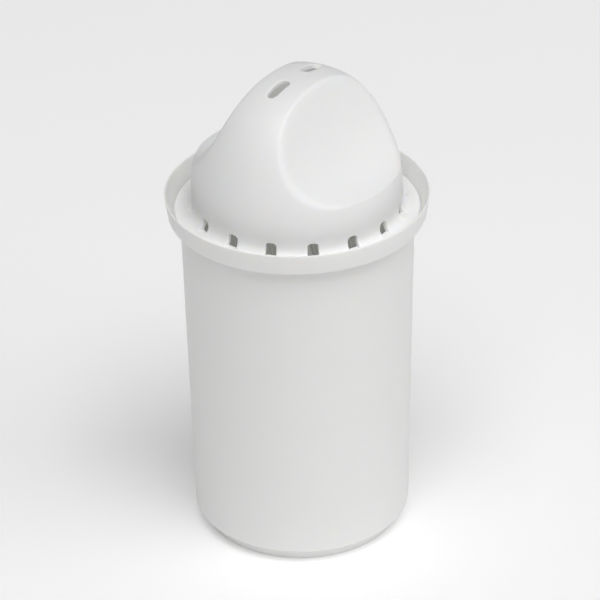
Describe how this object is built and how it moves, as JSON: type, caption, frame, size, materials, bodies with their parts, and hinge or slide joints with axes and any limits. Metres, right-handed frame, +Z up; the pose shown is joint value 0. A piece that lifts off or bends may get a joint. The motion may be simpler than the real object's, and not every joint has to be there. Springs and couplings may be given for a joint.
{
  "type": "water pitcher filter cartridge",
  "caption": "Round drop-in filter cartridge: tapered cup with an upstanding rim, and a domed cap with finger hollows, flow slots and vents.",
  "frame": {"origin": "centre of the foot, on the surface it stands on", "axes": "+Z up through the dome, +X along the ridge between the two finger hollows"},
  "size_m": [0.065, 0.065, 0.1238],
  "materials": {
    "cup_plastic": "moulded white plastic, fine satin",
    "cap_plastic": "moulded white plastic, fine satin",
    "screen_mesh": "fine woven plastic mesh in a moulded ring",
    "granules": "mixed carbon granules and amber resin beads"
  },
  "bodies": {
    "root": {"cup": "cup_plastic", "cap": "cap_plastic", "upper_screen": "screen_mesh", "lower_screen": "screen_mesh", "filter_media": "granules"}
  },
  "joints": []
}
